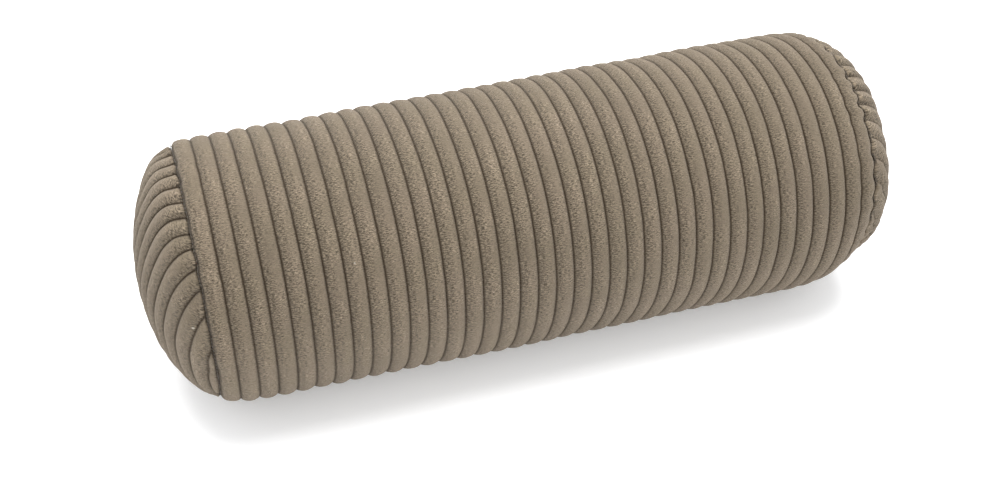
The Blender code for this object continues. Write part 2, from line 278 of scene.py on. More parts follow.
class Settled:
    """How far the filled cover moves from its sewn shape, kept on a coarse skin."""

    def __init__(self, moved=None):
        self.moved = moved

    def __call__(self, part, place, angle):
        """Movement of points of the body (at x) or of an end (at its share of the radius)."""
        place, angle = np.broadcast_arrays(np.asarray(place, float), angle)
        if self.moved is None:
            return np.zeros(place.shape + (3,))
        if part == "body":
            row = SKIN_RINGS + np.clip((place + SEAM_X) / (2 * SEAM_X), 0, 1) * SKIN_STATIONS
        else:
            last = 2 * SKIN_RINGS + SKIN_STATIONS
            share = np.clip(np.abs(place), 0, 1) * SKIN_RINGS
            row = np.where(np.copysign(1, place) < 0, share, last - share)
        column = np.mod(angle, 2 * math.pi) / (2 * math.pi) * SKIN_SIDES
        i = np.minimum(np.floor(row).astype(int), self.moved.shape[0] - 2)
        j = np.floor(column).astype(int) % SKIN_SIDES
        s, t = (row - i)[..., None], (column - np.floor(column))[..., None]
        k = (j + 1) % SKIN_SIDES
        near = self.moved[i, j] * (1 - t) + self.moved[i, k] * t
        far = self.moved[i + 1, j] * (1 - t) + self.moved[i + 1, k] * t
        return near * (1 - s) + far * s


def skin_points():
    """The coarse skin: rings of the left end, stations of the body, rings of the right end."""
    angles = np.arange(SKIN_SIDES) * 2 * math.pi / SKIN_SIDES
    shares = np.arange(SKIN_RINGS) / SKIN_RINGS
    shares[0] = 0.02

    def end_ring(side, share):
        rise = DOME * DOME_SHARE[side] * (1 - share ** END_FULLNESS[side]) ** SKIN_CORNER[side]
        return to_space(side * (SEAM_X + rise), angles, share * roll_radius(side * SEAM_X))

    rows = [end_ring(-1, share) for share in shares]
    for x in np.linspace(-SEAM_X, SEAM_X, SKIN_STATIONS + 1):
        drawn = shoulder(x, SEAM_X - abs(x), angles)
        rows.append(to_space(x, angles, roll_radius(x) - drawn))
    rows += [end_ring(1, share) for share in shares[::-1]]
    points = np.array(rows)
    points[..., 2] = rest_on_floor(points[..., 2])
    return points


def settle_cover():
    """Fills the sewn cover, gathers its end seams and lets it down on the floor."""
    start = skin_points()
    rows, sides = start.shape[:2]
    mesh = bpy.data.meshes.new("skin")
    faces = grid_faces(rows, sides, wrap_columns=True)
    faces += [range(sides)[::-1], range((rows - 1) * sides, rows * sides)]
    mesh.from_pydata([tuple(p) for p in start.reshape(-1, 3)], [], faces)
    skin = bpy.data.objects.new("skin", mesh)
    scene = bpy.context.scene
    scene.collection.objects.link(skin)
    gathered = skin.vertex_groups.new(name="gathered")
    for row in range(rows):
        off_seam = min(abs(row - SKIN_RINGS), abs(row - SKIN_RINGS - SKIN_STATIONS))
        if off_seam < 2:
            members = list(range(row * sides, (row + 1) * sides))
            gathered.add(members, 1.0 - 0.5 * off_seam, "REPLACE")
    cloth = skin.modifiers.new("settle", "CLOTH").settings
    cloth.quality = 6
    cloth.mass = 0.2
    cloth.tension_stiffness = cloth.compression_stiffness = 60
    cloth.shear_stiffness = 12
    cloth.bending_stiffness = 4
    cloth.effector_weights.gravity = 0.008
    cloth.use_pressure = True
    cloth.uniform_pressure_force = 6.0
    cloth.vertex_group_shrink = "gathered"
    cloth.shrink_min = 0.0
    cloth.shrink_max = 0.015
    ground_mesh = bpy.data.meshes.new("ground")
    corners = [(-1, -1, GROUND), (1, -1, GROUND), (1, 1, GROUND), (-1, 1, GROUND)]
    ground_mesh.from_pydata(corners, [], [(0, 1, 2, 3)])
    ground = bpy.data.objects.new("ground", ground_mesh)
    scene.collection.objects.link(ground)
    ground.modifiers.new("ground", "COLLISION")
    ground.collision.thickness_outer = 0.001
    skin.modifiers["settle"].collision_settings.distance_min = 0.001
    for number in range(1, SETTLE_FRAMES + 1):
        scene.frame_set(number)
    shaped = skin.evaluated_get(bpy.context.evaluated_depsgraph_get())
    end = np.array([v.co for v in shaped.data.vertices], float).reshape(start.shape)
    for helper in (skin, ground):
        bpy.data.objects.remove(helper)
    scene.frame_set(1)
    return Settled(shape_change(start.reshape(-1, 3), end.reshape(-1, 3)).reshape(start.shape))


def shape_change(start, end):
    """Movement from start to end less the part that only shifts or turns the whole, kept small."""
    on_floor = start[:, 2] < start[:, 2].min() + 0.002
    start, end = start - start.mean(0), end - end.mean(0)
    left, _, right = np.linalg.svd(start.T @ end)
    turn = left @ np.diag((1, 1, np.linalg.det(left @ right))) @ right
    moved = end @ turn.T - start
    size = np.linalg.norm(moved, axis=-1, keepdims=True)
    moved = moved / (1 + size / SETTLE_LIMIT)
    return moved - moved[on_floor].mean(0) * (0, 0, 1)


settled = settle_cover()


# ---------------------------------------------------------------- the cover's pieces


def body_profile():
    """Places along X from the left seam, closer together in the seam rolls and the grooves."""
    inside = np.array([rib + share for rib in range(RIBS) for share in RIB_SAMPLES][1:]) * PITCH
    inside = inside[(inside > SEAM_ROLL * 1.4) & (inside < 2 * SEAM_X - SEAM_ROLL * 1.4)]
    roll = SEAM_GAP + SEAM_ROLL * (1 - np.cos(np.radians([0, 22, 45, 68, 90])))
    return np.concatenate([roll, inside, 2 * SEAM_X - roll[::-1]])


def panel_columns():
    """Places round the panel from hem to hem, closer together at the hems."""
    hem = np.array([0, 0.0004, 0.001, 0.0018, 0.003, 0.005, 0.0075, 0.010, 0.0125, 0.0145])
    middle = np.linspace(0.018, CIRCUMFERENCE - 0.018, COLUMNS)
    return np.concatenate([hem, middle, CIRCUMFERENCE - hem[::-1]])


def panel_angles(x, around):
    """Angles of places round the panel, which the zip parts, and their distance from a hem."""
    edge = np.minimum(around, CIRCUMFERENCE - around)
    away_from_zip = np.where(around < CIRCUMFERENCE / 2, 1, -1)
    parted = opening_half(x) * np.exp(-edge / PARTED_REACH) * away_from_zip
    return (around + parted) / RADIUS, edge


def panel_outside(along, around):
    """Outer points of the body panel and their places in the cloth."""
    u, v = np.meshgrid(along, around)
    x = u - SEAM_X
    angle, edge = panel_angles(x, v)
    free = ease(edge, FREE_FROM, FREE_BY)
    to_seam = SEAM_X - np.abs(x)
    side = np.where(x < 0, -1, 1)
    wave = np.where(side < 0, seam_wave(-1, angle), seam_wave(1, angle))
    gather = np.where(side < 0, pucker(-1, angle), pucker(1, angle))
    wander = 0.00030 * lattice_noise(u, v, 0.050, 3) + 0.00012 * lattice_noise(u, v, 0.014, 4)
    x = x + wave * np.exp(-((to_seam / 0.013) ** 2)) * free
    x = x + wander * free * ease(to_seam, 0.002, 0.012)
    phase = u / PITCH
    crest = rib_height(phase)
    depth = GROOVE_DEPTH * (1 + 0.25 * lattice_noise(u, v, 0.022, 5))
    radius = roll_radius(x) - depth * (1 - crest)
    radius = radius + 0.0006 * lattice_noise(u, v, 0.045, 6) * free
    radius = radius + 0.00022 * lattice_noise(u, v, 0.008, 7) * crest
    reach = np.where(side < 0, 0.0009, 0.0016)
    radius = radius - reach * gather * np.exp(-to_seam / 0.007) * free
    radius = radius - shoulder(side, to_seam, angle) * free
    rolled = np.clip(1 - (to_seam - SEAM_GAP) / SEAM_ROLL, 0, 1)
    radius = radius - SEAM_ROLL * (1 - np.sqrt(1 - rolled**2))
    lip = np.clip(1 - edge / LIP_ROLL, 0, 1)
    radius = radius - LIP_ROLL * (1 - np.sqrt(1 - lip**2))
    points = to_space(x, angle, radius) + settled("body", x, angle) * free[..., None]
    points[..., 2] = rest_on_floor(points[..., 2])
    # The crest share given here is darkened by painted shade along the end seams.
    return points, np.stack([phase, v, crest * seam_shade(side, to_seam, gather)], -1)


def panel_inside(along, around):
    """Inner points of the body panel: thick at the hems, turned in at the end seams."""
    u, v = np.meshgrid(along, around)
    x = u - SEAM_X
    angle, edge = panel_angles(x, v)
    free = ease(edge, FREE_FROM, FREE_BY)
    to_seam = SEAM_X - np.abs(x)
    hem = 1 - ease(edge, HEM - 0.0005, HEM + 0.002)
    radius = (roll_radius(x) - CORD_THICKNESS) * (1 - hem) + HEM_RADIUS * hem
    turned_in = 1 - ease(to_seam, 0.0016, 0.006)
    radius = radius * (1 - turned_in) + (roll_radius(x) - FLANGE) * turned_in
    radius = radius - shoulder(x, to_seam, angle) * free
    points = to_space(x, angle, radius) + settled("body", x, angle) * free[..., None]
    points[..., 2] = rest_on_floor(points[..., 2], INNER_REST)
    return points, np.stack([u / PITCH, v, np.full(u.shape, HIDDEN)], -1)


def body_panel(material):
    """The corduroy panel round the roll, one closed sheet with rolled seams and thick hems."""
    around = panel_columns()
    outer, outer_place = panel_outside(body_profile(), around)
    inner_end = SEAM_X - SEAM_GAP - 0.0012
    inner_along = SEAM_X + np.linspace(-inner_end, inner_end, 46)
    inner, inner_place = panel_inside(inner_along, around)
    flange, flange_place = outer[:, [0, -1]].copy(), outer_place[:, [0, -1]]
    outward = (flange - (0, 0, AXIS_Z)) * (0, 1, 1)
    outward /= np.linalg.norm(outward, axis=-1, keepdims=True)
    flange -= outward * (FLANGE - SEAM_ROLL)
    flange[..., 2] = rest_on_floor(flange[..., 2], FLANGE_REST)

    loops = np.concatenate([flange[:, :1], outer, flange[:, 1:], inner[:, ::-1]], 1)
    places = [flange_place[:, :1], outer_place, flange_place[:, 1:], inner_place[:, ::-1]]
    rows, size = loops.shape[:2]
    points = loops.reshape(-1, 3)
    faces = grid_faces(rows, size, wrap_columns=True)
    top_count = outer.shape[1] + 2
    for first in (0, (rows - 1) * size):
        top = list(range(first, first + top_count))
        under = list(range(first + size - 1, first + top_count - 1, -1))
        faces += strip_between(top, under, points[top, 0], points[under, 0])
    places = np.concatenate(places, 1).reshape(-1, 3)
    piece = add_piece("corduroy_body_panel", points, faces, material, places)
    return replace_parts(piece, "cover_body")


def end_columns():
    """Places across the end panel's ribs, in shares of its radius."""
    rib = END_PITCH / RADIUS
    ribs = math.ceil(1 / rib) + 1
    places = [(number + share) * rib for number in range(-ribs, ribs + 1) for share in RIB_SAMPLES]
    inside = [place + END_SHIFT / RADIUS for place in places]
    inside = [place for place in inside if abs(place) < 0.965]
    rim = [math.cos(math.radians(turn)) for turn in np.linspace(0.6, 14.6, 13)]
    return np.array([-place for place in rim] + inside + rim[::-1])


def end_layout(side):
    """The end panel's grid: across and along the ribs, angle, share of the radius, height."""
    last = math.pi / 2 * 0.86
    rows = np.sin(np.linspace(-last, last, END_ROWS)) / math.sin(last)
    across, along = np.meshgrid(end_columns(), rows, indexing="ij")
    along = along * np.sqrt(1 - across**2)
    rho = np.sqrt(across**2 + along**2)
    across_way = np.array([math.cos(END_LEAN), math.sin(END_LEAN)])
    along_way = np.array([-math.sin(END_LEAN), math.cos(END_LEAN)])
    flat = across_way * across[..., None] + along_way * along[..., None]
    if side < 0:  # the ribs of the front half lie lower
        drop = ease(-flat[..., 1], -0.1, 0.35) * ease(-across, 0, 0.4) * (1 - rho**4)
        flat = flat - across_way * drop[..., None] * END_DROP / RADIUS
    angle = np.mod(np.arctan2(flat[..., 1], flat[..., 0]) - ZIP_RISE, 2 * math.pi)
    # the seam draws the ends of the front ribs up, and others this way and that
    inward = (1 - rho) * RADIUS
    front = ease(angle, 1.1, 1.6) * (1 - ease(angle, 1.95, 2.3))
    draw = -END_HOOK * front * np.exp(-inward / 0.0065) * (1 if side < 0 else 0.5)
    draw = draw + 0.0011 * ring_noise(angle, 16, 31 + side) * np.exp(-inward / 0.010)
    rho = np.minimum(np.linalg.norm(flat, axis=-1), 1)
    return across * RADIUS - END_SHIFT, along * RADIUS, angle - draw / RADIUS, rho, flat[..., 1]


def end_dome(side, rho, up):
    """How far the filled end stands out, as a share of its rise; the left is rounder at the top."""
    corner = 1 / (1.12 + 0.08 * up + 0.22 * np.clip(up, 0, 1) ** 2) if side < 0 else 1 / 1.35
    return np.clip(1 - rho ** END_FULLNESS[side], 0, 1) ** corner


def end_panel(side, name, node, material):
    """A round end panel: domed, ribbed on the slant, gathered where it meets the body."""
    across, along, angle, rho, up = end_layout(side)
    inward = (1 - rho) * RADIUS
    phase = across / END_PITCH
    crest = 1 - (1 - rib_height(phase)) * END_GROOVES[side]
    gather = pucker(side, angle)
    rim_drop = END_RIM_DROP[side] * (1 + 0.25 * np.clip(up, 0, 1))
    tuck = shoulder(side, inward * 0.6, angle) + rim_drop * np.exp(-((inward / 0.007) ** 2))
    wave = seam_wave(side, angle) * ease(rho, 0.80, 1.0)
    depth = GROOVE_DEPTH * (1 + 0.2 * lattice_noise(across, along, 0.02, 41 + side))
    gather_depth = 0.0012 if side < 0 else 0.0020
    lower = depth * (1 - crest) + gather_depth * gather * np.exp(-inward / 0.009)
    lower = lower - 0.0005 * lattice_noise(across, along, 0.035, 43 + side)
    lower = lower - 0.0002 * lattice_noise(across, along, 0.008, 45 + side) * crest

    rim_radius = float(roll_radius(side * SEAM_X)) - 0.0003
    foot = SEAM_X + SEAM_GAP + SEAM_ROLL
    rise = DOME * DOME_SHARE[side] - SEAM_GAP - SEAM_ROLL
    shape = end_dome(side, rho, up)
    lean = 0.001 * up * ease(inward, 0, 0.025)
    slope = rho**2 * 0.75
    x = side * (foot + rise * shape + lean - lower * np.cos(slope)) + wave
    outer = to_space(x, angle, rho * rim_radius - lower * np.sin(slope) - tuck * rho)
    inner_x = side * (foot + (rise - CORD_THICKNESS) * shape + lean) + wave
    inner = to_space(inner_x, angle, rho * (rim_radius - 0.0034) - tuck * rho)
    # Painted shade along the seam, carried in the crest share.
    shade = seam_shade(side, inward * 0.6 + SEAM_ROLL * 0.6, gather)
    place = np.stack([phase, along + 0.3 * side, crest * shade], -1)

    n, m = across.shape
    around = [(i, 0) for i in range(n)] + [(n - 1, j) for j in range(1, m)]
    around += [(i, m - 1) for i in range(n - 2, -1, -1)] + [(0, j) for j in range(m - 2, 0, -1)]
    rim = tuple(np.array(around).T)
    rings, rim_angle = [], angle[rim]
    for turn in np.radians((25, 50, 75, 90)):
        ring_x = side * (foot - SEAM_ROLL * math.sin(turn)) + wave[rim]
        rolled = (SEAM_ROLL - (lower * np.sin(slope))[rim]) * math.cos(turn)
        rings.append(to_space(ring_x, rim_angle, rim_radius - SEAM_ROLL + rolled - tuck[rim]))
    deep = rim_radius + 0.0003 - FLANGE - tuck[rim] + rim_drop[rim]
    for gap in (SEAM_GAP, SEAM_GAP + 0.0011):
        rings.append(to_space(side * (SEAM_X + gap) + wave[rim], rim_angle, deep))
    rings = np.array(rings)

    outer += settled("end", side * rho, angle)
    inner += settled("end", side * rho, angle)
    rings += settled("end", side * np.ones(len(around)), rim_angle)
    for part, least in ((outer, 0.0), (inner, INNER_REST), (rings, RIM_REST)):
        part[..., 2] = rest_on_floor(part[..., 2], least)
    points = np.concatenate([part.reshape(-1, 3) for part in (outer, rings, inner)])
    # The rings that roll into the seam are darkened more the deeper they go: painted shade.
    ring_place = [place[rim] * (1, 1, share) for share in (0.8, 0.45, 0.2, 0.1, 0.1, 0.1)]
    inner_place = place * (1, 1, 0) + (0, 0, HIDDEN)
    places = np.concatenate([place.reshape(-1, 3), *ring_place, inner_place.reshape(-1, 3)])

    base, count = n * m, len(around)
    inner_first = base + len(rings) * count
    rim_number = rim[0] * m + rim[1]
    levels = [rim_number] + [base + k * count + np.arange(count) for k in range(len(rings))]
    levels.append(inner_first + rim_number)
    faces = grid_faces(n, m, flip=side < 0) + grid_faces(n, m, inner_first, flip=side > 0)
    for near, far in zip(levels, levels[1:]):
        band = np.stack([near, far, np.roll(far, -1), np.roll(near, -1)], -1)
        faces += band[:, ::side].tolist()
    piece = add_piece(name, points, faces, material, places)
    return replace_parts(piece, node)


# ---------------------------------------------------------------- thread, zip and inner cushion


def zip_point(x, v, w):
    """A point by its place along the zip, up across it and out from the roll's axis."""
    c, s = math.cos(ZIP_RISE), math.sin(ZIP_RISE)
    x, v, w = np.broadcast_arrays(x, v, w)
    return np.stack([x, w * c - v * s, AXIS_Z + w * s + v * c], -1)


def swept(name, runs, material, node):
    """Closed tubes: each run is an array of rings of points."""
    points, faces, first = [], [], 0
    for rings in runs:
        rows, sides = rings.shape[:2]
        points.append(rings.reshape(-1, 3))
        faces += grid_faces(rows, sides, first, wrap_columns=True)
        faces.append(range(first + sides - 1, first - 1, -1))
        faces.append(range(first + (rows - 1) * sides, first + rows * sides))
        first += rows * sides
    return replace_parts(add_piece(name, np.concatenate(points), faces, material), node)


def tube(path, radius, sides=6):
    """Rings of points round a path; the radius is one number or one for each point."""
    path = np.asarray(path, float)
    ahead = np.gradient(path, axis=0)
    ahead /= np.linalg.norm(ahead, axis=1, keepdims=True)
    guide = np.array([0.31, 0.52, 0.79])
    side = np.cross(ahead, guide)
    side /= np.linalg.norm(side, axis=1, keepdims=True)
    other = np.cross(ahead, side)
    turn = np.arange(sides) * 2 * math.pi / sides
    radius = np.broadcast_to(radius, len(path))[:, None, None]
    ring = side[:, None] * np.cos(turn)[:, None] + other[:, None] * np.sin(turn)[:, None]
    return path[:, None] + ring * radius


def stitches(ahead, count, share, thickness):
    """Short stitches along a path function of 0 to 1; the ends of each dip into the cloth."""
    runs = []
    for number in range(count):
        steps = np.linspace(number + 0.5 - share / 2, number + 0.5 + share / 2, 6) / count
        dip = np.array([1.0, 0.35, 0.0, 0.0, 0.35, 1.0]) * thickness * 1.6
        waist = thickness * np.array([0.45, 0.85, 1, 1, 0.85, 0.45])
        runs.append(tube(ahead(steps, dip), waist, 6))
    return runs


def seam_thread(side, name, node, material):
    """The stitching of an end seam, deep between the two rolled edges."""

    def ahead(share, dip):
        angle = share * SEAM_TURN + SEAM_START
        x = side * SEAM_X + seam_wave(side, angle)
        deep = roll_radius(side * SEAM_X) - SEAM_THREAD_DEPTH
        return to_space(x, angle, deep - shoulder(side, 0, angle) - dip)

    runs = stitches(ahead, count=176, share=0.78, thickness=0.00027)
    return swept(name, runs, material, node)


def long_seam_thread(name, node, material):
    """The stitching that shuts the long seam past one end of the zip."""
    low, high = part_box(node)

    def ahead(share, dip):
        x = low.x + 0.002 + (high.x - low.x - 0.004) * share
        return zip_point(x, 0, LONG_SEAM_RADIUS - dip)

    runs = stitches(ahead, count=10, share=0.8, thickness=0.00026)
    return swept(name, runs, material, node)


def zip_stitching(side, name, node, material):
    """Two rows: one that shows along the hem outside, one under the tape inside."""
    low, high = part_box(node)

    def outside(share, dip):
        x = low.x + (high.x - low.x) * share
        phase = (x + SEAM_X) / PITCH
        surface = roll_radius(x) - GROOVE_DEPTH * (1 - rib_height(phase)) * 0.7
        return to_space(x, side * OUTER_ROW / RADIUS, surface + 0.00025 - dip)

    def inside(share, dip):
        x = low.x + (high.x - low.x) * share
        return zip_point(x, side * INNER_ROW, INNER_ROW_RADIUS + dip)

    runs = stitches(outside, count=116, share=0.74, thickness=0.00034)
    runs += stitches(inside, count=116, share=0.74, thickness=0.00028)
    return swept(name, runs, material, node)


def zip_tape(side, name, node, material):
    """A woven band with a thicker edge beside the coil."""
    low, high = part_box(node)
    x = np.linspace(low.x + 0.0002, high.x - 0.0002, 240)
    section = (  # millimetres up from the zip line and out from the roll's axis
        (0.8, 92.45), (0.9, 92.95), (2.2, 93.0), (4.0, 92.9), (8.0, 92.88), (12.2, 92.9),
        (12.75, 92.7), (12.2, 92.5), (8.0, 92.46), (3.0, 92.44),
    )
    rings = []
    for v, w in section:
        bow = 0.00003 * np.sin(x * 2 * math.pi / 0.0031)
        rings.append(zip_point(x, side * v / 1000, w / 1000 + bow))
    rings = np.stack(rings, 1)
    return swept(name, [rings if side > 0 else rings[:, ::-1]], material, node)


def zip_coil(side, name, node, material):
    """One continuous nylon spiral, its loops opposite the gaps of the other side."""
    low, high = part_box(node)
    loops = int((high.x - low.x - 2 * COIL_WIRE) / COIL_PITCH)
    turn = np.arange(loops * 10 + 1) * 2 * math.pi / 10
    x = low.x + COIL_WIRE + COIL_PITCH * turn / (2 * math.pi) + COIL_SLANT * np.sin(turn)
    if side < 0:
        x = x + COIL_PITCH / 2
    v = COIL_MIDDLE - (COIL_HALF - COIL_WIRE) * np.cos(turn)
    w = COIL_RADIUS + (COIL_RISE - COIL_WIRE) * np.sin(turn)
    path = zip_point(x, side * v, w)[x < high.x - COIL_WIRE]
    return swept(name, [tube(path, COIL_WIRE, sides=5)], material, node)


def from_zip(angle):
    """The angle away from the zip line, either way round."""
    turn = np.mod(angle, 2 * math.pi)
    return np.minimum(turn, 2 * math.pi - turn)


def follow_cover(x, angle, radius):
    """How the cover's shoulders and its settling move what lies inside it."""
    to_seam = SEAM_X - np.abs(x)
    free = ease(from_zip(angle) * RADIUS, FREE_FROM, FREE_BY)
    share = np.clip(radius / CASE_RADIUS, 0, 1)
    drawn = shoulder(x, np.where(to_seam > 0, to_seam, (1 - share) * RADIUS * 0.6), angle)
    drawn = np.maximum(drawn, 0)
    on_body = settled("body", x, angle) * (free * share)[..., None]
    on_end = settled("end", np.sign(x) * share, angle)
    return drawn * free * share, np.where((to_seam > 0)[..., None], on_body, on_end)


def revolved(name, section, ripple, material, node, slot, closed, sides):
    """A section of (x, radius) turned round the roll's axis, its radius rippled by a function."""
    section = np.asarray(section, float)
    angles = np.arange(sides) * 2 * math.pi / sides
    x, angle = np.meshgrid(section[:, 0], angles)
    radius = np.broadcast_to(section[:, 1], x.shape)
    radius = np.maximum(radius - ripple(x, angle) * np.minimum(radius / 0.04, 1), 0)
    drawn, moved = follow_cover(x, angle, radius)
    points = to_space(x, angle, radius - drawn)
    points[..., 2] = np.maximum(points[..., 2], AXIS_Z - radius * 0.97)
    points = points + moved
    points = points.reshape(-1, 3)
    count, total = len(section), len(points)
    faces = grid_faces(sides + 1, count, wrap_columns=closed)
    faces = [[k % total for k in face] for face in faces]
    if not closed:  # each pole is one vertex
        keep = np.arange(total)
        for column in (0, count - 1):
            keep[column::count] = column
        faces = [list(dict.fromkeys(keep[face].tolist())) for face in faces]
        used, numbers = np.unique(np.concatenate(faces), return_inverse=True)
        faces = np.split(numbers, np.cumsum([len(face) for face in faces])[:-1])
        faces = [face for face in faces if len(face) > 2]
        points = points[used]
    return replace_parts(add_piece(name, points, faces, material), node)


def case_ripple(x, angle):
    """Creases of the inner case, deepest at its end seams, and its recess behind the zip."""
    creases = 0.0005 * (1 + ring_noise(angle, 15, 61) * np.cos(x * 21 + 3 * np.sin(angle)))
    gathers = 0.0007 * (1 + ring_noise(angle, 38, 62)) * np.exp(-(SEAM_X - np.abs(x)) / 0.02)
    behind = (1 - ease(from_zip(angle), 0.165, 0.26)) * (1 - ease(np.abs(x), 0.214, 0.230))
    return np.clip(creases + gathers * (np.abs(x) < SEAM_X), 0, 0.003) + 0.0019 * behind


def inner_case_body(material):
    """The inner case's sleeve, a thin wall that is closed at its two ends."""
    x = np.linspace(-SEAM_X + 0.0012, SEAM_X - 0.0012, 96)
    outer = [(a, CASE_RADIUS - 0.0003) for a in x]
    inner = [(a, CASE_RADIUS - 0.0009) for a in x[::-1]]
    sleeve = "inner_case_sleeve", outer + inner, case_ripple, material, "inner_case_body"
    return revolved(*sleeve, "inner_case", closed=True, sides=160)


def inner_case_end(side, name, node, material):
    """A domed end disc of the inner case, gathered round its rim."""

    def dome(share, lift, radius):
        height = min(CASE_DOME, DOME * DOME_SHARE[side] - UNDER_DOME["case"]) - lift
        bulge = (height - 0.0006) * (1 - share**2.2) ** 0.85
        return side * (SEAM_X + 0.0006 + bulge), share * radius

    shares = np.concatenate([np.linspace(0, 0.9, 26), np.linspace(0.92, 1.0, 8)])
    outer = [dome(s, 0.0, CASE_RADIUS - 0.0004) for s in shares]
    inner = [dome(s, 0.0007, CASE_RADIUS - 0.0010) for s in shares[::-1]]
    section = outer + inner
    if side < 0:
        section = section[::-1]

    def ripple(x, angle):
        out = np.abs(x) - SEAM_X
        return 0.0009 * (1 + ring_noise(angle, 38, 63 + side)) * np.exp(-out / 0.012)

    end = name, section, ripple, material, node
    return revolved(*end, "inner_case", closed=False, sides=144)


def case_seam_thread(side, name, node, material):
    """The stitching between the inner case's sleeve and an end disc."""

    def ahead(share, dip):
        angle = share * SEAM_TURN + SEAM_START
        turn = angle + ZIP_RISE
        radius = CASE_RADIUS - 0.0016 - dip
        x = side * (SEAM_X - 0.0001) + 0 * angle
        drawn, moved = follow_cover(x, angle, radius)
        sink = np.maximum(-np.sin(turn) - 0.97, 0) * radius
        points = to_space(x, angle, radius - drawn) + moved
        return points + np.stack([0 * sink, 0 * sink, sink], -1)

    runs = stitches(ahead, count=150, share=0.72, thickness=0.00022)
    return swept(name, runs, material, node)


def closing_thread(material):
    """The slanting stitches that shut the inner case once it is filled."""
    low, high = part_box("inner_case_closing_thread")
    middle = (low + high) / 2
    angle = math.atan2(middle.z - AXIS_Z, middle.y) - ZIP_RISE

    def ahead(share, dip):
        x = low.x + (high.x - low.x) * share
        slant = 0.0011 * np.cos(share * CLOSING_STITCHES * 2 * math.pi)
        place = angle + slant / CASE_RADIUS
        drawn, moved = follow_cover(x, place, CASE_RADIUS + 0 * x)
        return to_space(x, place, CASE_RADIUS - 0.0001 - dip - drawn) + moved

    node = "inner_case_closing_thread"
    runs = stitches(ahead, count=CLOSING_STITCHES, share=0.8, thickness=0.00024)
    return swept("inner_case_closing_stitches", runs, material, node)


def filling(material):
    """Blown fibre: a plump lumpy mass."""
    radius, caps = FILL_HIGH.y - 0.0004, {}
    for side in (-1, 1):
        rise = min(FILL_HIGH.x - SEAM_X, DOME * DOME_SHARE[side] - UNDER_DOME["filling"])
        end = SEAM_X + rise
        dome = end - SEAM_X + 0.006
        caps[side] = [
            (side * (end - dome * (1 - (1 - share**2.1) ** 0.8)), share * radius)
            for share in np.concatenate([np.linspace(0, 0.97, 30), [1.0]])
        ]
    body = [(x, radius) for x in np.linspace(-SEAM_X + 0.006, SEAM_X - 0.006, 74)[1:-1]]
    section = caps[-1] + body + caps[1][::-1]

    def ripple(x, angle):
        lumps = lattice_noise(x, np.cos(angle) * 0.08 + np.sin(angle) * 0.05, 0.024, 71)
        fine = lattice_noise(x, np.sin(angle) * 0.09, 0.008, 72)
        behind = (1 - ease(from_zip(angle), 0.17, 0.30)) * (1 - ease(np.abs(x), 0.216, 0.236))
        return 0.0010 * (1 + lumps) + 0.0003 * (1 + fine) + 0.0021 * behind

    mass = "fibre_filling_mass", section, ripple, material, "fibre_filling"
    return revolved(*mass, "fibre", closed=False, sides=140)


# ---------------------------------------------------------------- shader arithmetic


class Term:
    """An output socket that takes part in arithmetic."""

    def __init__(self, tree, socket):
        self.tree, self.socket = tree, socket

    def math(self, operation, other=None):
        inputs = {0: self} if other is None else {0: self, 1: other}
        return self.tree.node("Math", {"operation": operation}, inputs)

    def __add__(self, other):
        return self.math("ADD", other)

    def __sub__(self, other):
        return self.math("SUBTRACT", other)

    def __mul__(self, other):
        return self.math("MULTIPLY", other)

    def __rsub__(self, other):
        return (self * -1) + other

    __radd__, __rmul__ = __add__, __mul__


class Finish:
    """A Principled material and the nodes that drive it."""

    def __init__(self, name, **constants):
        self.material = bpy.data.materials.new(name)
        self.material.use_nodes = True
        self.tree = self.material.node_tree
        self.tree.nodes.clear()
        self.surface = self.tree.nodes.new("ShaderNodeBsdfPrincipled")
        output = self.tree.nodes.new("ShaderNodeOutputMaterial")
        self.tree.links.new(self.surface.outputs["BSDF"], output.inputs["Surface"])
        for socket, value in constants.items():
            self.surface.inputs[socket.replace("_", " ")].default_value = value

    def feed(self, socket, value):
        if isinstance(value, Term):
            self.tree.links.new(value.socket, socket)
        else:
            socket.default_value = value

    def node(self, kind, settings=None, inputs=None, output=0):
        made = self.tree.nodes.new("ShaderNode" + kind)
        for name, value in (settings or {}).items():
            if name == "stops":
                self.set_stops(made.color_ramp, value)
            else:
                setattr(made, name, value)
        for name, value in (inputs or {}).items():
            self.feed(made.inputs[name], value)
        return Term(self, made.outputs[output])

    @staticmethod
    def set_stops(ramp, stops):
        while len(ramp.elements) < len(stops):
            ramp.elements.new(0.5)
        for element, (place, colour) in zip(ramp.elements, stops):
            element.position = place
            element.color = (*colour, 1) if len(colour) == 3 else colour

    def put(self, socket, value):
        self.feed(self.surface.inputs[socket], value)

    def place(self):
        """Rib count across, metres along, and crest share darkened by painted shade along the end
        seams: what each cloth mesh carries.
        """
        vector = self.node("Attribute", {"attribute_name": "cloth_place"}, output="Vector")
        return [self.node("SeparateXYZ", {}, {0: vector}, axis) for axis in "XYZ"]

    def vector(self, x, y, z=0.0):
        return self.node("CombineXYZ", {}, {0: x, 1: y, 2: z})

    def noise(self, vector, scale, detail=2.0, roughness=0.5):
        inputs = {"Vector": vector, "Scale": scale, "Detail": detail, "Roughness": roughness}
        return self.node("TexNoise", {}, inputs)

    def mix(self, share, first, second, blend="MIX"):
        inputs = {0: share, 6: first, 7: second}
        return self.node("Mix", {"data_type": "RGBA", "blend_type": blend}, inputs, 2)

    def remap(self, value, low, high, new_low=0.0, new_high=1.0):
        inputs = {0: value, 1: low, 2: high, 3: new_low, 4: new_high}
        return self.node("MapRange", {"interpolation_type": "SMOOTHSTEP"}, inputs)

    def bump(self, height, distance, strength=1.0):
        inputs = {"Height": height, "Distance": distance, "Strength": strength}
        self.put("Normal", self.node("Bump", {}, inputs, "Normal"))


def srgb(red, green, blue):
    """0-255 display values as a linear colour."""
    def linear(level):
        share = level / 255
        return share / 12.92 if share <= 0.04045 else ((share + 0.055) / 1.055) ** 2.4

    return linear(red), linear(green), linear(blue), 1.0


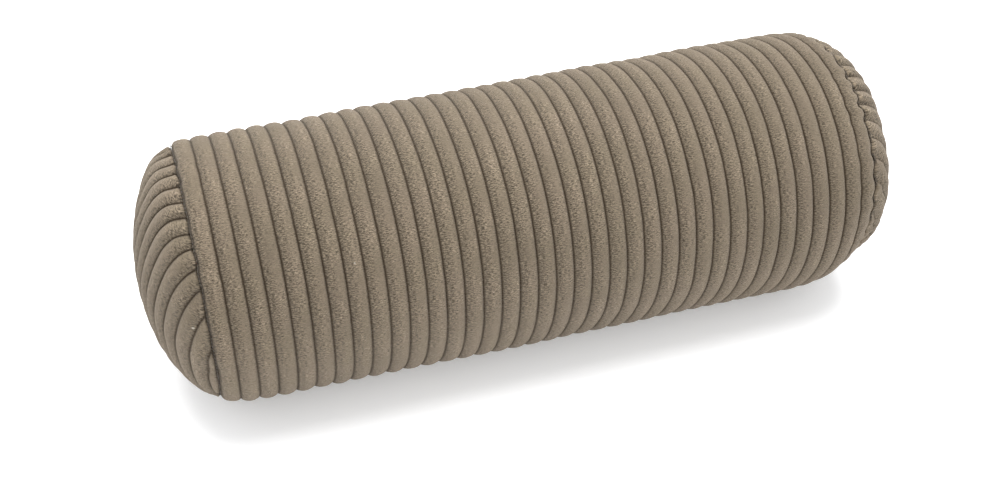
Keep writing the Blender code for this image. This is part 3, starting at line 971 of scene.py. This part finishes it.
def corduroy():
    """Brushed taupe pile: short rows across each rib, and one side of each rib darker, partly the
    nap and partly painted shade; the grooves and end seams darker, partly their own colour and
    partly painted shade.
    """
    finish = Finish("corduroy_pile", Roughness=0.95, Sheen_Weight=0.25, Sheen_Roughness=0.45)
    finish.surface.inputs["Sheen Tint"].default_value = srgb(235, 222, 205)
    finish.surface.inputs["Specular IOR Level"].default_value = 0.15
    # The crest share also carries painted shade along the end seams.
    phase, along, crest = finish.place()
    across = phase * PITCH
    within = phase.math("FRACT")
    flat = finish.vector(across, along)
    rows = finish.noise(finish.vector(across * 0.26, along), 1700, 2, 0.6)
    specks = finish.noise(flat, 1500, 1, 0.6)
    tufts = finish.noise(finish.vector(across * 0.8, along), 330, 3, 0.6)
    patches = finish.noise(flat, 34, 4, 0.6)
    clouds = finish.noise(flat, 9, 3, 0.55)
    hue = finish.noise(finish.vector(across, along, 3.0), 26, 3, 0.6)
    # Painted shade, partly also the nap: the half of each rib towards -X is darker, as if lit from
    # +X.
    nap_and_painted_shade = finish.remap(within + (tufts - 0.5) * 0.35, 0.66, 0.16)
    nap_and_painted_shade = nap_and_painted_shade * finish.remap(patches, 0.30, 0.62, 0.6, 1.0)
    worn = patches + nap_and_painted_shade * 0.22 - (within - 0.5) * 0.10
    rough_zone = finish.remap(worn, 0.36, 0.66, 0.32, 1.45)
    # Dark grooves and seams: partly the backing and denser pile in the grooves, partly painted
    # shade in the grooves and along the end seams.
    groove_and_painted_shade = finish.remap(crest + (tufts - 0.5) * 0.12, 0.60, 0.16)
    colour = finish.mix(
        finish.remap(hue, 0.35, 0.65), srgb(113, 101, 86), srgb(110, 99, 83)
    )
    # The darker copy of the pile colour here is that painted shade on one side of each rib, partly
    # the nap.
    colour = finish.mix(nap_and_painted_shade * 0.66, colour, srgb(82, 73, 61))
    light = (patches - 0.5) * 0.42 + (clouds - 0.5) * 0.30 + (tufts - 0.5) * 0.22
    smoother = finish.remap(phase, RIBS * 0.5, RIBS, 1.0, 0.72)
    grain = ((rows - 0.5) * 3.7 + (specks - 0.5) * 1.7) * rough_zone * smoother
    level = (0.97 + light + grain).math("MAXIMUM", 0.3)
    colour = finish.mix(1.0, colour, finish.vector(level, level, level), "MULTIPLY")
    # Dark brown in the grooves and end seams, partly their own colour and partly painted shade.
    colour = finish.mix(groove_and_painted_shade * 0.95, colour, srgb(48, 38, 26))
    lint = finish.node(
        "TexVoronoi", {"feature": "F1"}, {"Vector": flat, "Scale": 26, "Randomness": 1.0}
    )
    colour = finish.mix(finish.remap(lint, 0.030, 0.016, 0.0, 0.75), colour, srgb(176, 170, 158))
    finish.put("Base Color", colour)
    finish.bump(rows * 1.2 + specks * 0.8 + tufts * 0.9, 0.0009, 1.0)
    return finish.material


def woven(name, thread, gap, pitch, angle=0.0, sheen=0.2, streak=0.25):
    """Plain-woven cloth: over-and-under threads with slubs."""
    finish = Finish(name, Roughness=0.85, Sheen_Weight=sheen)
    place = finish.node("TexCoord", {}, {}, "Object")
    turned = finish.node("VectorRotate", {}, {"Vector": place, "Angle": angle})
    x, y, z = (finish.node("SeparateXYZ", {}, {0: turned}, axis) for axis in "XYZ")
    round_way = (z + y * 0.73) * (2 * math.pi / pitch)
    long_way = x * (2 * math.pi / pitch)
    warp, weft = long_way.math("SINE"), round_way.math("SINE")
    over = (warp * weft) * 0.5 + 0.5
    slub = finish.noise(finish.vector(x * 0.15, z, y), 420, 3)
    stain = finish.noise(place, 18, 4, 0.6)
    colour = finish.mix(over * 0.6 + slub * streak, gap, thread)
    tone = 0.86 + stain * 0.28
    colour = finish.mix(1.0, colour, finish.vector(tone, tone, tone), "MULTIPLY")
    finish.put("Base Color", colour)
    finish.bump(over + slub * 0.6, pitch * 0.3, 0.8)
    return finish.material


def spun_thread(name, colour, dark):
    """Twisted polyester thread."""
    finish = Finish(name, Roughness=0.6, Sheen_Weight=0.15)
    place = finish.node("TexCoord", {}, {}, "Object")
    x, y, z = (finish.node("SeparateXYZ", {}, {0: place}, axis) for axis in "XYZ")
    twist = ((x + y + z) * 9000).math("SINE") * 0.5 + 0.5
    fuzz = finish.noise(place, 2600, 2)
    finish.put("Base Color", finish.mix(twist * 0.6 + fuzz * 0.4, dark, colour))
    finish.bump(twist + fuzz, 0.0001, 0.8)
    return finish.material


def coil_nylon():
    """Smooth nylon wire, a little worn."""
    finish = Finish("coil_nylon", Coat_Weight=0.25)
    place = finish.node("TexCoord", {}, {}, "Object")
    worn = finish.noise(place, 900, 3)
    finish.put("Base Color", finish.mix(worn, srgb(96, 84, 68), srgb(118, 105, 88)))
    finish.put("Roughness", 0.32 + worn * 0.2)
    finish.bump(worn, 0.00004, 0.6)
    return finish.material


def antique_metal():
    """Dull cast zip metal, brighter where it is rubbed."""
    finish = Finish("antique_zip_metal", Metallic=1.0)
    place = finish.node("TexCoord", {}, {}, "Object")
    cloudy, fine = finish.noise(place, 420, 4, 0.6), finish.noise(place, 2600, 3)
    rubbed = finish.remap(cloudy + (fine - 0.5) * 0.5, 0.52, 0.74)
    colour = finish.mix(cloudy, srgb(74, 66, 53), srgb(112, 101, 82))
    finish.put("Base Color", finish.mix(rubbed * 0.6, colour, srgb(150, 138, 114)))
    finish.put("Roughness", 0.46 - rubbed * 0.14 + fine * 0.12)
    finish.bump(cloudy + fine * 0.5, 0.00006, 0.7)
    return finish.material


def fibre_fill():
    """White polyester fibre in soft clumps."""
    finish = Finish("blown_fibre", Roughness=0.9, Sheen_Weight=0.4, Subsurface_Weight=0.1)
    place = finish.node("TexCoord", {}, {}, "Object")
    strands = finish.noise(place, 320, 6, 0.75)
    clumps = finish.noise(place, 45, 4, 0.6)
    tufts = strands * 0.5 + clumps * 0.5
    finish.put("Base Color", finish.mix(tufts, srgb(205, 205, 200), srgb(244, 244, 240)))
    finish.bump(strands + clumps, 0.002, 0.9)
    return finish.material


def floor_finish():
    """The plain pale floor."""
    finish = Finish("studio_floor", Roughness=0.9, Emission_Strength=0.20)
    finish.surface.inputs["Emission Color"].default_value = (1, 1, 1, 1)
    flat = finish.node("TexCoord", {}, {}, "Object")
    tone = finish.noise(flat, 1.5, 2)
    finish.put("Base Color", finish.mix(tone, (0.90, 0.90, 0.905, 1), (0.93, 0.93, 0.93, 1)))
    return finish.material


# ---------------------------------------------------------------- studio


def studio():
    """The floor, a pale surround and two soft lights."""
    mesh = bpy.data.meshes.new("studio_floor")
    size = 6.0
    corners = [(-size, -size, 0), (size, -size, 0), (size, size, 0), (-size, size, 0)]
    mesh.from_pydata(corners, [], [(0, 1, 2, 3)])
    floor = bpy.data.objects.new("studio_floor", mesh)
    floor.location.z = -0.0003
    bpy.context.scene.collection.objects.link(floor)
    mesh.materials.append(floor_finish())
    scene = bpy.context.scene
    scene.view_settings.view_transform = "Standard"
    scene.view_settings.look = "None"
    world = bpy.data.worlds.new("studio")
    world.use_nodes = True
    world.node_tree.nodes["Background"].inputs["Color"].default_value = (0.965, 0.98, 1.0, 1)
    world.node_tree.nodes["Background"].inputs["Strength"].default_value = 1.03
    scene.world = world
    lamps = (
        ("top_light", (0.1, 0.32, 1.9), 2.0, 62.0),
        ("front_light", (-0.7, -2.0, 1.1), 1.6, 13.5),
    )
    for name, place, size, power in lamps:
        light = bpy.data.lights.new(name, "AREA")
        light.shape = "DISK"
        light.size = size
        light.energy = power
        lamp = bpy.data.objects.new(name, light)
        lamp.location = place
        aim = Vector((0, 0, AXIS_Z)) - Vector(place)
        lamp.rotation_euler = aim.to_track_quat("-Z", "Y").to_euler()
        scene.collection.objects.link(lamp)


def camera():
    """A view from the front, above and a little to the left."""
    data = bpy.data.cameras.new("camera")
    data.sensor_width = 36
    data.lens = 47.63
    view = bpy.data.objects.new("camera", data)
    view.location = (-0.2675, -0.7750, 0.7115)
    view.rotation_euler = (math.radians(51.9), 0, math.radians(-17.9))
    bpy.context.scene.collection.objects.link(view)
    bpy.context.scene.camera = view


# ---------------------------------------------------------------- the build

cord = corduroy()
thread = spun_thread("taupe_thread", srgb(88, 77, 62), srgb(52, 44, 34))
case_cotton = woven("case_cotton", srgb(222, 216, 202), srgb(168, 160, 142), 0.0011)
case_thread = spun_thread("cream_thread", srgb(214, 206, 188), srgb(150, 141, 122))
tape_weave = woven("zip_tape_weave", srgb(110, 95, 74), srgb(62, 52, 39), 0.0007, 0.78, 0.1, 0.4)
nylon, metal = coil_nylon(), antique_metal()

cover = [body_panel(cord)]
for side, hand in ((-1, "left"), (1, "right")):
    cover.append(end_panel(side, f"corduroy_{hand}_end", f"cover_{hand}_end", cord))
    seam_thread(side, f"{hand}_seam_stitches", f"cover_{hand}_seam_thread", thread)
    long_seam_thread(f"long_seam_stitches_{hand}", f"cover_long_seam_thread_{hand}", thread)
    case_end = f"inner_case_{hand}_end"
    cover.append(inner_case_end(side, f"inner_case_{hand}_disc", case_end, case_cotton))
    case_node = f"inner_case_{hand}_seam_thread"
    case_seam_thread(side, f"inner_case_{hand}_stitches", case_node, case_thread)
for side, hand in ((1, "upper"), (-1, "lower")):
    zip_tape(side, f"woven_zip_tape_{hand}", f"zip_tape_{hand}", tape_weave)
    zip_coil(side, f"nylon_coil_{hand}", f"zip_coil_{hand}", nylon)
    zip_stitching(side, f"zip_stitches_{hand}", f"zip_stitching_{hand}", thread)
cover += [inner_case_body(case_cotton), filling(fibre_fill())]
closing_thread(case_thread)
METAL_NODES = ("slider", "pull_tab", "bottom_stop", "top_stop_upper", "top_stop_lower")
for name in METAL_NODES:
    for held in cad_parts["zip_" + name].material_slots:
        held.material = metal
studio()
camera()
